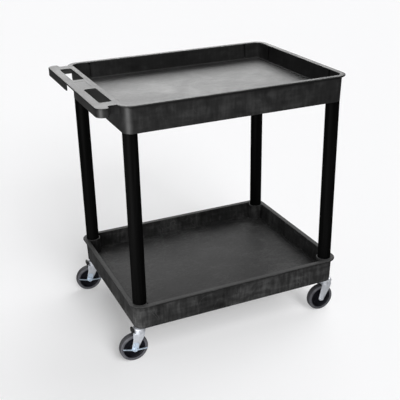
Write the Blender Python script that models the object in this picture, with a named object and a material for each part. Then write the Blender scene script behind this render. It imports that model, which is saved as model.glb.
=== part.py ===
"""Two-shelf tub trolley: moulded tubs, round legs and four swivel casters.

Axes: +X is the way the trolley is pushed, with the handle at the -X end, and
+Z is up.  The origin lies on the floor under the middle of the whole box.
Everything is placed from the middle of the tubs, which the empty "trolley"
holds, and each caster from the empty on its own swivel axis.
"""
import math

import bmesh
import bpy
from mathutils import Vector

MM = 0.001

# ---- Tubs (both shelves share one plan) --------------------------------------
TUB_HALF_X = 406.5 * MM
TUB_HALF_Y = 312.5 * MM
RIM_CORNER_R = 45.0 * MM
TUB_DEPTH = 93.0 * MM
FLOOR_BELOW_RIM = 62.0 * MM
FLOOR_THICKNESS = 6.0 * MM
TOP_RIM_Z = 922.0 * MM
BOTTOM_RIM_Z = 224.5 * MM
LIP_THICKNESS = 6.5 * MM
WALL_TOP_INSET = 11.0 * MM
WALL_FOOT_INSET = 14.0 * MM
CORNER_STEPS = 5

RIB_THICKNESS = 4.0 * MM
RIB_FOOT_GAP = 15.0 * MM
RIB_SPACING_X = 140.0 * MM
RIBS_ACROSS = 5
RIB_SPACING_Y = 120.0 * MM
RIBS_ALONG = 4

# ---- Legs --------------------------------------------------------------------
LEG_X = 368.0 * MM
LEG_Y = 270.0 * MM
LEG_R = 24.0 * MM
LEG_WALL = 3.0 * MM
LEG_FOOT_R = 22.0 * MM
LEG_FOOT_Z = 178.0 * MM
SPIGOT_R = 18.0 * MM
SPIGOT_TOP_Z = 855.0 * MM
BOSS_R = 29.0 * MM
BOSS_DROP = 0.4 * MM
TOP_BOSS_R = 23.9 * MM

# ---- Handle, moulded in one piece with the top tub ---------------------------
HANDLE_X = -475.0 * MM
HANDLE_HALF_Y = 300.0 * MM
HANDLE_NECK_Y = 275.0 * MM
HANDLE_CORNER_R = 25.0 * MM
HANDLE_EAR_LENGTH = 14.0 * MM
HANDLE_EAR_R = 8.0 * MM
HANDLE_NECK_FILLET_R = 9.0 * MM
HANDLE_THICKNESS = 5.5 * MM
HANDLE_TOP_Z = TOP_RIM_Z - 0.3 * MM
HANDLE_LIP_DEPTH = 29.0 * MM
HANDLE_LIP_WALL = 5.0 * MM
LIP_GAP_HALF_Y = 50.0 * MM
SLOT_OUTER_X = -446.0 * MM
SLOT_INNER_X = -407.0 * MM
SLOT_NEAR_Y = 65.0 * MM
SLOT_FAR_Y = 232.0 * MM
SLOT_CORNER_R = 6.0 * MM

# ---- Casters -----------------------------------------------------------------
CASTER_REAR_X = -374.0 * MM
CASTER_FRONT_X = 383.0 * MM
CASTER_Y = 268.0 * MM
TRAIL = 25.0 * MM
WHEEL_R = 50.8 * MM
WHEEL_HALF_W = 12.5 * MM
HUB_R = 39.4 * MM
FORK_INNER_Y = 14.2 * MM
FORK_PLATE = 2.8 * MM
FORK_OUTER_Y = FORK_INNER_Y + FORK_PLATE
CROWN_BOTTOM_Z = 105.5 * MM
CROWN_TOP_Z = 109.0 * MM
RACE_R = 22.0 * MM
DISH_R = 20.0 * MM
RACE_BOTTOM_Z = 114.8 * MM
RACE_TOP_Z = 125.0 * MM
STEM_R = 5.5 * MM
STEM_TOP_Z = 171.0 * MM
STEM_FLANGE_R = 13.0 * MM
AXLE_R = 5.0 * MM
SLEEVE_R = 7.0 * MM
PEDAL_THICKNESS = 3.0 * MM
PEDAL_TILT = math.radians(10.0)
PEDAL_BRACKET = ((9.0, -6.5), (13.0, -1.5), (12.0, 5.0), (10.5, 14.0), (10.5, 21.0), (8.0, 24.0))
PEDAL_WING = ((8.0, -3.2), (45.0, 2.0), (45.0, 3.4), (8.0, -1.0))
PEDAL_WING_WIDTH = 6.5 * MM
BLOCK_FOOT_X = (-3.5 * MM, 1.0 * MM)
BLOCK_FOOT_Y = (-12.4 * MM, 4.0 * MM)
BLOCK_FOOT_TOP = 66.0 * MM
BLOCK_TYRE_GAP = 2.2 * MM
BLOCK_GRIP = ((1.3, 64.5), (1.3, 77.5), (-0.2, 79.0), (-5.5, 79.0), (-7.0, 77.5), (-7.0, 64.5),
              (-5.5, 63.0), (-0.2, 63.0))
BLOCK_GRIP_Y = (-14.0 * MM, 5.0 * MM)
LINK_X = (-2.5 * MM, 2.4 * MM)
LINK_Y = (-13.8 * MM, -12.8 * MM)
LINK_Z = (9.0 * MM, 62.7 * MM)

GAP = 0.3 * MM
OVERLAP = 1.0 * MM

# ---- Worked out from the above ----------------------------------------------
BOTTOM_EDGE_Z = BOTTOM_RIM_Z - TUB_DEPTH
BOX_MIDDLE_X = (HANDLE_X + CASTER_FRONT_X - TRAIL + WHEEL_R) / 2

CORNERS = {
    "rear_left": (CASTER_REAR_X, 1, True),
    "rear_right": (CASTER_REAR_X, -1, True),
    "front_left": (CASTER_FRONT_X, 1, False),
    "front_right": (CASTER_FRONT_X, -1, False),
}


# ---- Materials ---------------------------------------------------------------
def material(name, colour, roughness, metallic=0.0):
    """A Principled material of one colour."""
    made = bpy.data.materials.new(name)
    made.use_nodes = True
    shader = made.node_tree.nodes["Principled BSDF"]
    shader.inputs["Base Color"].default_value = (*colour, 1.0)
    shader.inputs["Roughness"].default_value = roughness
    shader.inputs["Metallic"].default_value = metallic
    made.diffuse_color = (*colour, 1.0)
    return made


def make_materials():
    return {
        "tub": material("black_foam_plastic", (0.028, 0.028, 0.030), 0.42),
        "leg": material("black_tube_plastic", (0.010, 0.010, 0.011), 0.35),
        "zinc": material("zinc_plated_steel", (0.56, 0.58, 0.62), 0.38, 1.0),
        "hub": material("black_wheel_plastic", (0.012, 0.012, 0.016), 0.45),
        "tyre": material("grey_rubber", (0.10, 0.10, 0.11), 0.70),
        "shoe": material("black_brake_rubber", (0.012, 0.012, 0.013), 0.60),
    }


# ---- Mesh helpers ------------------------------------------------------------
def loft(name, rings, closed=False):
    """A closed mesh through rings of equally many points.

    The first and last ring are capped, or joined to each other if closed.
    """
    shape = bmesh.new()
    loops = [[shape.verts.new(point) for point in ring] for ring in rings]
    pairs = list(zip(loops, loops[1:]))
    if closed:
        pairs.append((loops[-1], loops[0]))
    else:
        shape.faces.new(loops[0])
        shape.faces.new(loops[-1])
    for lower, upper in pairs:
        for i in range(len(lower)):
            j = (i + 1) % len(lower)
            shape.faces.new((lower[i], lower[j], upper[j], upper[i]))
    bmesh.ops.recalc_face_normals(shape, faces=shape.faces)
    mesh = bpy.data.meshes.new(name)
    shape.to_mesh(mesh)
    shape.free()
    return mesh


def circle(radius, height, steps, axis="Z", start=0.0):
    """A ring of points around an axis, the first one at the angle start."""
    ring = []
    for i in range(steps):
        angle = start + 2 * math.pi * i / steps
        a, b = radius * math.cos(angle), radius * math.sin(angle)
        ring.append(Vector((a, b, height)) if axis == "Z" else Vector((b, height, -a)))
    return ring


def hexagon(across_flats, height, steps):
    """A ring around Y on the outline of a hexagon, with steps points."""
    ring = []
    for i in range(steps):
        angle = 2 * math.pi * i / steps
        from_flat = (angle + math.pi / 6) % (math.pi / 3) - math.pi / 6
        radius = across_flats / 2 / math.cos(from_flat)
        ring.append(Vector((radius * math.sin(angle), height, -radius * math.cos(angle))))
    return ring


def turned(name, profile, steps, axis="Z", closed=False):
    """A turned solid from (radius, height) pairs."""
    return loft(name, [circle(r, h, steps, axis) for r, h in profile], closed)


def prism(name, outline, low, high, along="Z"):
    """A flat outline pulled along Z, or an (x, z) outline pulled along Y."""
    if along == "Z":
        rings = [[Vector((x, y, h)) for x, y in outline] for h in (low, high)]
    else:
        rings = [[Vector((x, h, z)) for x, z in outline] for h in (low, high)]
    return loft(name, rings)


def arc(centre_x, centre_y, radius, start, end, steps):
    """Points of an arc, in degrees, both ends included."""
    points = []
    for i in range(steps + 1):
        angle = math.radians(start + (end - start) * i / steps)
        points.append((centre_x + radius * math.cos(angle),
                       centre_y + radius * math.sin(angle)))
    return points


def rounded_rectangle(low_x, high_x, low_y, high_y, radius, steps):
    """The outline of a rectangle with round corners, counter-clockwise."""
    in_x, out_x = low_x + radius, high_x - radius
    in_y, out_y = low_y + radius, high_y - radius
    return (arc(out_x, out_y, radius, 0, 90, steps)
            + arc(in_x, out_y, radius, 90, 180, steps)
            + arc(in_x, in_y, radius, 180, 270, steps)
            + arc(out_x, in_y, radius, 270, 360, steps))


def box_outline(low_x, high_x, low_y, high_y):
    return [(low_x, low_y), (high_x, low_y), (high_x, high_y), (low_x, high_y)]


def many(name, meshes):
    """One mesh that holds several separate solids."""
    shape = bmesh.new()
    for mesh in meshes:
        shape.from_mesh(mesh)
    joined = bpy.data.meshes.new(name)
    shape.to_mesh(joined)
    shape.free()
    return joined


def combined(name, base, steps):
    """The mesh of base after Boolean steps, each an (operation, mesh) pair."""
    body = bpy.data.objects.new(name, base)
    bpy.context.scene.collection.objects.link(body)
    tools = []
    for operation, mesh in steps:
        tool = bpy.data.objects.new(name + "_tool", mesh)
        tool.hide_render = True
        tool.display_type = "WIRE"
        bpy.context.scene.collection.objects.link(tool)
        tools.append(tool)
        change = body.modifiers.new(operation.lower(), "BOOLEAN")
        change.operation = operation
        change.solver = "EXACT"
        change.object = tool
    scene_state = bpy.context.evaluated_depsgraph_get()
    result = bpy.data.meshes.new_from_object(body.evaluated_get(scene_state))
    result.name = name
    for used in [body] + tools:
        bpy.data.objects.remove(used)
    return result


def empty(name, parent, location):
    """A marker on a joint axis, which carries what moves about it."""
    marker = bpy.data.objects.new(name, None)
    bpy.context.scene.collection.objects.link(marker)
    marker.parent = parent
    marker.location = location
    return marker


def piece(name, mesh, look, parent, location=(0, 0, 0), turn=(0, 0, 0)):
    """A named sub-part at its place under its parent."""
    made = bpy.data.objects.new(name, mesh)
    bpy.context.scene.collection.objects.link(made)
    made.parent = parent
    made.location = location
    made.rotation_euler = turn
    mesh.materials.clear()
    mesh.materials.append(look)
    mesh.shade_smooth()
    mesh.set_sharp_from_angle(angle=math.radians(35))
    return made


# ---- Tubs --------------------------------------------------------------------
def tub_ring(inset, height):
    """The tub's plan outline, moved in from the rim's edge."""
    radius = RIM_CORNER_R - inset
    outline = rounded_rectangle(inset - TUB_HALF_X, TUB_HALF_X - inset,
                                inset - TUB_HALF_Y, TUB_HALF_Y - inset,
                                radius, CORNER_STEPS)
    return [Vector((x, y, height)) for x, y in outline]


def tub_shell(name, rim_z):
    """Floor, walls, rolled rim and the open skirt under the floor."""
    floor_z = rim_z - FLOOR_BELOW_RIM
    foot_z = rim_z - TUB_DEPTH
    section = [
        (28.0 * MM, floor_z),
        (24.5 * MM, floor_z + 1.5 * MM),
        (22.8 * MM, floor_z + 5.0 * MM),
        (19.2 * MM, rim_z - 4.0 * MM),
        (18.2 * MM, rim_z - 1.2 * MM),
        (15.5 * MM, rim_z),
        (2.2 * MM, rim_z),
        (0.6 * MM, rim_z - 0.7 * MM),
        (0.0, rim_z - 2.4 * MM),
        (0.0, rim_z - 5.0 * MM),
        (0.8 * MM, rim_z - LIP_THICKNESS),
        (WALL_TOP_INSET, rim_z - LIP_THICKNESS),
        (WALL_FOOT_INSET, foot_z),
        (20.0 * MM, foot_z),
        (20.6 * MM, floor_z - FLOOR_THICKNESS),
    ]
    return loft(name, [tub_ring(inset, height) for inset, height in section])


def ribs(name, rim_z):
    """Two sets of ribs under a floor, each without crossings of its own."""
    high = rim_z - FLOOR_BELOW_RIM - FLOOR_THICKNESS + OVERLAP
    low = rim_z - TUB_DEPTH + RIB_FOOT_GAP
    half = RIB_THICKNESS / 2
    reach_x = TUB_HALF_X - WALL_FOOT_INSET - 4.0 * MM
    reach_y = TUB_HALF_Y - WALL_FOOT_INSET - 4.0 * MM
    across, along = [], []
    for i in range(RIBS_ACROSS):
        x = (i - (RIBS_ACROSS - 1) / 2) * RIB_SPACING_X
        across.append(prism(name, box_outline(x - half, x + half, -reach_y, reach_y), low, high))
    for i in range(RIBS_ALONG):
        y = (i - (RIBS_ALONG - 1) / 2) * RIB_SPACING_Y
        outline = box_outline(-reach_x, reach_x, y - half, y + half)
        along.append(prism(name, outline, low + OVERLAP, high - OVERLAP / 2))
    return many(name + "_across", across), many(name + "_along", along)


def at_legs(name, profile, steps, places=None):
    """A turned solid on each leg's axis, or on each of the places."""
    solids = []
    for x, y in places or [(sx * LEG_X, sy * LEG_Y) for sx in (-1, 1) for sy in (-1, 1)]:
        rings = [circle(r, h, steps) for r, h in profile]
        shift = Vector((x, y, 0))
        solids.append(loft(name, [[point + shift for point in ring] for ring in rings]))
    return many(name, solids)


def handle_edge():
    """The handle's outline on the +Y side, from the tub wall to its middle."""
    centre_x = HANDLE_X + HANDLE_CORNER_R
    centre_y = HANDLE_HALF_Y - HANDLE_CORNER_R
    ear_x = centre_x + HANDLE_EAR_LENGTH
    neck_r, ear_r = HANDLE_NECK_FILLET_R, HANDLE_EAR_R
    edge = [(1 * MM - TUB_HALF_X + WALL_TOP_INSET, HANDLE_NECK_Y)]
    edge += arc(ear_x + neck_r, HANDLE_NECK_Y + neck_r, neck_r, 270, 180, 3)
    edge += arc(ear_x - ear_r, HANDLE_HALF_Y - ear_r, ear_r, 0, 90, 3)
    edge += arc(centre_x, centre_y, HANDLE_CORNER_R, 90, 180, 6)
    edge.append((HANDLE_X, LIP_GAP_HALF_Y))
    return edge


def moved_in(edge, distance):
    """An open path shifted to its left by a distance, with mitred corners."""
    moved = []
    for i, (x, y) in enumerate(edge):
        before = edge[max(i - 1, 0)]
        after = edge[min(i + 1, len(edge) - 1)]
        ways = []
        for start, end in ((before, (x, y)), ((x, y), after)):
            way = Vector(end) - Vector(start)
            if way.length > 0:
                ways.append(way.normalized())
        normals = [Vector((-way.y, way.x)) for way in ways]
        mitre = (normals[0] + normals[-1]).normalized()
        reach = distance / mitre.dot(normals[0])
        moved.append((x + mitre.x * reach, y + mitre.y * reach))
    return moved


def mirrored(outline):
    return [(x, -y) for x, y in reversed(outline)]


def handle_steps():
    """The Boolean steps that add the handle to the top tub."""
    edge = handle_edge()
    root = (10 * MM - TUB_HALF_X + WALL_TOP_INSET, HANDLE_NECK_Y - 5.0 * MM)
    plate_outline = [root] + edge + mirrored(edge) + mirrored([root])
    plate = prism("handle_plate", plate_outline, HANDLE_TOP_Z - HANDLE_THICKNESS, HANDLE_TOP_Z)
    strip = edge + list(reversed(moved_in(edge, HANDLE_LIP_WALL)))
    low = TOP_RIM_Z - HANDLE_LIP_DEPTH
    high = HANDLE_TOP_Z - OVERLAP
    lips = [prism("handle_lip", outline, low, high) for outline in (strip, mirrored(strip))]
    steps = [("UNION", plate)] + [("UNION", lip) for lip in lips]
    for low_y, high_y in ((SLOT_NEAR_Y, SLOT_FAR_Y), (-SLOT_FAR_Y, -SLOT_NEAR_Y)):
        outline = rounded_rectangle(SLOT_OUTER_X, SLOT_INNER_X, low_y, high_y, SLOT_CORNER_R, 3)
        slot = prism("handle_slot", outline, low, TOP_RIM_Z + HANDLE_THICKNESS)
        steps.append(("DIFFERENCE", slot))
    return steps


def top_tub_mesh():
    """Top shelf: shell, ribs, leg sockets under the floor, and the handle."""
    underside = TOP_RIM_Z - FLOOR_BELOW_RIM - FLOOR_THICKNESS
    foot_z = TOP_RIM_Z - TUB_DEPTH
    across, along = ribs("top_rib", TOP_RIM_Z)
    bosses = at_legs("top_boss", [(TOP_BOSS_R, foot_z + 0.2 * MM),
                                  (TOP_BOSS_R, underside + OVERLAP)], 20)
    sockets = at_legs("top_socket", [(SPIGOT_R + GAP, foot_z - OVERLAP),
                                     (SPIGOT_R + GAP, SPIGOT_TOP_Z + GAP)], 20)
    steps = [("UNION", across), ("UNION", along), ("UNION", bosses), ("DIFFERENCE", sockets)]
    return combined("top_tub", tub_shell("top_shell", TOP_RIM_Z), steps + handle_steps())


def bottom_tub_mesh():
    """Bottom shelf: shell, ribs and the corner bosses for legs and stems."""
    across, along = ribs("bottom_rib", BOTTOM_RIM_Z)
    boss_top = BOTTOM_RIM_Z - BOSS_DROP
    bosses = at_legs("bottom_boss", [(BOSS_R, BOTTOM_EDGE_Z - OVERLAP), (BOSS_R, boss_top)], 24)
    margin = 0.4 * MM
    envelope = loft("tub_envelope", [
        tub_ring(WALL_FOOT_INSET + margin, BOTTOM_EDGE_Z + margin),
        tub_ring(WALL_TOP_INSET + margin, BOTTOM_RIM_Z - LIP_THICKNESS),
        tub_ring(WALL_TOP_INSET + margin, BOTTOM_RIM_Z),
    ])
    clipped = combined("clipped_boss", bosses, [("INTERSECT", envelope)])
    taper = (LEG_R - LEG_FOOT_R) / (BOTTOM_RIM_Z - LEG_FOOT_Z)
    sockets = at_legs("leg_socket", [
        (LEG_FOOT_R + GAP, LEG_FOOT_Z - GAP),
        (LEG_R + GAP + taper * OVERLAP, BOTTOM_RIM_Z + OVERLAP),
    ], 20)
    places = [(x, side * CASTER_Y) for x, side, _ in CORNERS.values()]
    stems = at_legs("stem_hole", [(STEM_R + GAP, BOTTOM_EDGE_Z - OVERLAP),
                                  (STEM_R + GAP, STEM_TOP_Z + GAP)], 16, places)
    steps = [("UNION", across), ("UNION", along), ("UNION", clipped),
             ("DIFFERENCE", sockets), ("DIFFERENCE", stems)]
    return combined("bottom_tub", tub_shell("bottom_shell", BOTTOM_RIM_Z), steps)


def leg_mesh():
    """A round tube, tapered at its foot and necked to a spigot at its top."""
    shoulder_z = TOP_RIM_Z - TUB_DEPTH - GAP
    bore_r = LEG_R - LEG_WALL
    profile = [
        (LEG_FOOT_R, LEG_FOOT_Z),
        (LEG_R, BOTTOM_RIM_Z),
        (LEG_R, shoulder_z),
        (SPIGOT_R, shoulder_z),
        (SPIGOT_R, SPIGOT_TOP_Z),
        (SPIGOT_R - LEG_WALL, SPIGOT_TOP_Z),
        (SPIGOT_R - LEG_WALL, shoulder_z - LEG_WALL),
        (bore_r, shoulder_z - 2 * LEG_WALL),
        (LEG_FOOT_R - LEG_WALL, LEG_FOOT_Z),
    ]
    return turned("leg", profile, 20, closed=True)


# ---- Casters: around the swivel axis, with Z from the floor -------------------
def stem_mesh():
    """Grip stem, wrench flange and king pin, fixed in the bottom tub."""
    return turned("caster_stem", [
        (8.5 * MM, CROWN_BOTTOM_Z - 4.0 * MM),
        (8.5 * MM, CROWN_BOTTOM_Z - 0.5 * MM),
        (STEM_R + 0.2 * MM, CROWN_BOTTOM_Z - 0.5 * MM),
        (STEM_R + 0.2 * MM, RACE_TOP_Z + GAP),
        (STEM_FLANGE_R, RACE_TOP_Z + GAP),
        (STEM_FLANGE_R, BOTTOM_EDGE_Z - GAP),
        (STEM_R, BOTTOM_EDGE_Z - GAP),
        (STEM_R, STEM_TOP_Z),
    ], 16)


def race_mesh():
    """The fixed upper half of the swivel bearing: an upturned cup."""
    bore = STEM_R + 0.5 * MM
    roof_z = RACE_BOTTOM_Z + 3.7 * MM
    return turned("swivel_race", [
        (bore, roof_z),
        (bore, RACE_TOP_Z),
        (RACE_R - 5.0 * MM, RACE_TOP_Z),
        (RACE_R, RACE_TOP_Z - 4.0 * MM),
        (RACE_R, RACE_BOTTOM_Z),
        (RACE_R - 1.4 * MM, RACE_BOTTOM_Z),
        (RACE_R - 1.4 * MM, roof_z),
    ], 24, closed=True)


def fork_mesh():
    """Pressed fork: two side plates, a crown and the lower race dish."""
    axle_x = -TRAIL
    end_r = 11.0 * MM
    outline = arc(axle_x, WHEEL_R, end_r, 180, 320, 7)
    outline += [
        (axle_x + 31.0 * MM, WHEEL_R + 33.0 * MM),
        (axle_x + 37.0 * MM, WHEEL_R + 43.0 * MM),
        (axle_x + 40.0 * MM, CROWN_TOP_Z),
        (axle_x + 1.0 * MM, CROWN_TOP_Z),
    ]
    near = prism("near_plate", outline, -FORK_OUTER_Y, -FORK_INNER_Y, along="Y")
    far = prism("far_plate", outline, FORK_INNER_Y, FORK_OUTER_Y, along="Y")
    crown_outline = box_outline(-22.0 * MM, axle_x + 39.0 * MM,
                                -FORK_INNER_Y - OVERLAP, FORK_INNER_Y + OVERLAP)
    crown = prism("crown", crown_outline, CROWN_BOTTOM_Z, CROWN_TOP_Z - 0.2 * MM)
    dish_top = RACE_BOTTOM_Z + 3.0 * MM
    dish = turned("dish", [
        (DISH_R, CROWN_BOTTOM_Z + 0.2 * MM),
        (DISH_R, CROWN_TOP_Z + 4.6 * MM),
        (DISH_R - 3.0 * MM, CROWN_TOP_Z + 5.2 * MM),
        (DISH_R - 3.0 * MM, dish_top),
    ], 24)
    pin_hole = turned("pin_hole", [(STEM_R + 0.5 * MM, CROWN_BOTTOM_Z - OVERLAP),
                                   (STEM_R + 0.5 * MM, dish_top + OVERLAP)], 16)
    rings = [circle(AXLE_R + GAP, y, 16, "Y") for y in (-20.0 * MM, 20.0 * MM)]
    shift = Vector((axle_x, 0, WHEEL_R))
    axle_hole = loft("axle_hole", [[point + shift for point in ring] for ring in rings])
    steps = [("UNION", far), ("UNION", crown), ("UNION", dish),
             ("DIFFERENCE", pin_hole), ("DIFFERENCE", axle_hole)]
    return combined("fork", near, steps)


# ---- Wheel parts: around the axle --------------------------------------------
def hub_mesh():
    """Moulded wheel core: bearing boss, thin web and a rim for the tyre."""
    bore = SLEEVE_R + GAP
    side = [
        (bore, 12.2 * MM),
        (12.0 * MM, 12.2 * MM),
        (14.0 * MM, 7.5 * MM),
        (33.0 * MM, 7.5 * MM),
        (HUB_R, 11.0 * MM),
    ]
    profile = [(r, -y) for r, y in side] + [(r, y) for r, y in reversed(side)]
    return turned("wheel_hub", profile, 24, "Y", closed=True)


def tyre_mesh():
    """Tyre ring with rounded shoulders."""
    side = [
        (HUB_R + GAP, 12.0 * MM),
        (46.0 * MM, WHEEL_HALF_W),
        (49.6 * MM, WHEEL_HALF_W - 2.2 * MM),
        (WHEEL_R, WHEEL_HALF_W - 6.5 * MM),
    ]
    profile = [(r, -y) for r, y in side] + [(r, y) for r, y in reversed(side)]
    return turned("tyre", profile, 32, "Y", closed=True)


def sleeve_mesh():
    """Spacer tube that the wheel turns on, clamped between the fork plates."""
    length = FORK_INNER_Y - GAP
    profile = [(AXLE_R + GAP, -length), (SLEEVE_R, -length),
               (SLEEVE_R, length), (AXLE_R + GAP, length)]
    return turned("axle_sleeve", profile, 12, "Y", closed=True)


def bolt_mesh(head_y):
    """Axle bolt: hexagon head outside the near plate, shank to the far side."""
    steps = 12
    head = 5.0 * MM
    end_y = FORK_OUTER_Y + 9.0 * MM
    return loft("axle_bolt", [
        hexagon(14.0 * MM, -head_y - head, steps),
        hexagon(14.0 * MM, -head_y, steps),
        circle(AXLE_R, -head_y, steps, "Y"),
        circle(AXLE_R, end_y, steps, "Y"),
    ])


def nut_mesh():
    """Hexagon nut outside the far plate."""
    steps = 12
    near_y = FORK_OUTER_Y + GAP
    far_y = near_y + 6.0 * MM
    return loft("axle_nut", [
        circle(AXLE_R + GAP, near_y, steps, "Y"),
        hexagon(14.0 * MM, near_y, steps),
        hexagon(14.0 * MM, far_y, steps),
        circle(AXLE_R + GAP, far_y, steps, "Y"),
    ], closed=True)


# ---- Brake parts: around the axle --------------------------------------------
def pedal_mesh():
    """See-saw lever: a pressed bracket on the axle with a flat wing each way."""
    near_y = -FORK_OUTER_Y - GAP
    far_y = near_y - PEDAL_THICKNESS
    outline = [(0, -11.5 * MM)] + [(x * MM, z * MM) for x, z in PEDAL_BRACKET]
    outline += [(-x, z) for x, z in reversed(outline[1:])]
    plate = prism("pedal_bracket", outline, far_y, near_y, along="Y")
    wings = []
    for side in (-1, 1):
        wing = [(side * x * MM, z * MM) for x, z in PEDAL_WING]
        wings.append(prism("wing", wing[::side], near_y - PEDAL_WING_WIDTH,
                           near_y - OVERLAP / 4, along="Y"))
    rings = [circle(AXLE_R + GAP, y, 16, "Y") for y in (far_y - OVERLAP, near_y + OVERLAP)]
    hole = loft("pedal_hole", rings)
    steps = [("UNION", many("wings", wings)), ("DIFFERENCE", hole)]
    return combined("brake_pedal", plate, steps)


def shoe_mesh():
    """Brake block: a grip at race height on a foot that follows the tyre."""
    face_r = WHEEL_R + BLOCK_TYRE_GAP
    low_x, high_x = BLOCK_FOOT_X
    outline = []
    for i in range(4):
        x = low_x + (high_x - low_x) * i / 3
        outline.append((x, math.sqrt(face_r ** 2 - x ** 2)))
    outline += [(high_x, BLOCK_FOOT_TOP), (low_x, BLOCK_FOOT_TOP)]
    foot = prism("brake_foot", outline, *BLOCK_FOOT_Y, along="Y")
    grip_outline = [(x * MM, z * MM) for x, z in BLOCK_GRIP]
    grip = prism("brake_grip", grip_outline, *BLOCK_GRIP_Y, along="Y")
    return combined("brake_shoe", foot, [("UNION", grip)])


def link_mesh():
    """Thin strip inside the near plate that joins the lever to the block."""
    outline = box_outline(*LINK_X, *LINK_Z)
    return prism("brake_link", outline, *LINK_Y, along="Y")


# ---- Assembly ----------------------------------------------------------------
def build_casters(looks, trolley):
    """Four casters, the rear pair with brakes."""
    plain_bolt = bolt_mesh(FORK_OUTER_Y + GAP)
    brake_bolt = bolt_mesh(FORK_OUTER_Y + PEDAL_THICKNESS + 2 * GAP)
    stem, race, fork = stem_mesh(), race_mesh(), fork_mesh()
    hub, tyre, sleeve, nut = hub_mesh(), tyre_mesh(), sleeve_mesh(), nut_mesh()
    pedal, shoe, link = pedal_mesh(), shoe_mesh(), link_mesh()
    for corner, (x, side, braked) in CORNERS.items():
        place = (x, side * CASTER_Y, 0)
        piece("caster_stem_" + corner, stem, looks["zinc"], trolley, place)
        piece("swivel_race_" + corner, race, looks["zinc"], trolley, place)
        swivel = empty("swivel_axis_" + corner, trolley, place)
        piece("fork_" + corner, fork, looks["zinc"], swivel)
        axle = empty("wheel_axis_" + corner, swivel, (-TRAIL, 0, WHEEL_R))
        bolt = brake_bolt if braked else plain_bolt
        piece("axle_bolt_" + corner, bolt, looks["zinc"], axle)
        piece("axle_nut_" + corner, nut, looks["zinc"], axle)
        piece("axle_sleeve_" + corner, sleeve, looks["zinc"], axle)
        piece("wheel_hub_" + corner, hub, looks["hub"], axle)
        piece("tyre_" + corner, tyre, looks["tyre"], axle)
        if braked:
            tilt = (0, PEDAL_TILT, 0)
            piece("brake_pedal_" + corner, pedal, looks["zinc"], axle, turn=tilt)
            piece("brake_shoe_" + corner, shoe, looks["shoe"], axle)
            piece("brake_link_" + corner, link, looks["zinc"], axle)


def build():
    for old in list(bpy.data.objects):
        bpy.data.objects.remove(old)
    looks = make_materials()
    trolley = empty("trolley", None, (-BOX_MIDDLE_X, 0, 0))
    piece("top_tub", top_tub_mesh(), looks["tub"], trolley)
    piece("bottom_tub", bottom_tub_mesh(), looks["tub"], trolley)
    leg = leg_mesh()
    for corner, (x, side, _) in CORNERS.items():
        place = (math.copysign(LEG_X, x), side * LEG_Y, 0)
        piece("leg_" + corner, leg, looks["leg"], trolley, place)
    build_casters(looks, trolley)


build()
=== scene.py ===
"""Looks for the two-shelf tub trolley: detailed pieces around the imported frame."""
import math

import bmesh
import bpy
from mathutils import Matrix, Vector, geometry


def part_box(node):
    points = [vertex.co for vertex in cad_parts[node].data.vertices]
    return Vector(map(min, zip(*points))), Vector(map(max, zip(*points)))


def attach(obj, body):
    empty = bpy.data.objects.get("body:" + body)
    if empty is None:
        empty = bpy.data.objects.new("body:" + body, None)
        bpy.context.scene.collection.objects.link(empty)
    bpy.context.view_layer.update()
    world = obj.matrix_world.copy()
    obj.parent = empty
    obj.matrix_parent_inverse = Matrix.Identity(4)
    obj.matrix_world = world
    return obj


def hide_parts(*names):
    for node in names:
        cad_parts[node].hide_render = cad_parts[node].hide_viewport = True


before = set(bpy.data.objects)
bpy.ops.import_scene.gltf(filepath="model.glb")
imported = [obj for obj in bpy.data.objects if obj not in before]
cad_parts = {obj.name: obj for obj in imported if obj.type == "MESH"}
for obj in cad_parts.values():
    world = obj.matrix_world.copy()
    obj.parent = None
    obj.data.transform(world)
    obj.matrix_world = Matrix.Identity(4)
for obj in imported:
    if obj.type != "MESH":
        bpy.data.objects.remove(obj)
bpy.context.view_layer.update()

MM = 0.001

# ---- Places and sizes, from the frame ----------------------------------------
TOP_LOW, TOP_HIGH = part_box("top_tub")
BOTTOM_LOW, BOTTOM_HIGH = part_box("bottom_tub")
MID_X = (BOTTOM_LOW.x + BOTTOM_HIGH.x) / 2
HALF_X = (BOTTOM_HIGH.x - BOTTOM_LOW.x) / 2
HALF_Y = BOTTOM_HIGH.y
TOP_RIM_Z = TOP_HIGH.z
BOTTOM_RIM_Z = BOTTOM_HIGH.z
TUB_DEPTH = BOTTOM_HIGH.z - BOTTOM_LOW.z
HANDLE_X = TOP_LOW.x

FLOOR_DROP = 62.0 * MM
FLOOR_THICKNESS = 6.0 * MM
RIM_CORNER_R = 45.0 * MM
LIP_THICKNESS = 6.5 * MM
WALL_TOP_INSET = 11.0 * MM
WALL_FOOT_INSET = 14.0 * MM

CORNERS = ("rear_left", "rear_right", "front_left", "front_right")
BRAKED = ("rear_left", "rear_right")


def middle(node):
    low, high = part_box(node)
    return (low + high) / 2


# ---- Node materials ----------------------------------------------------------
PLASTIC_IOR = 1.5


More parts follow.
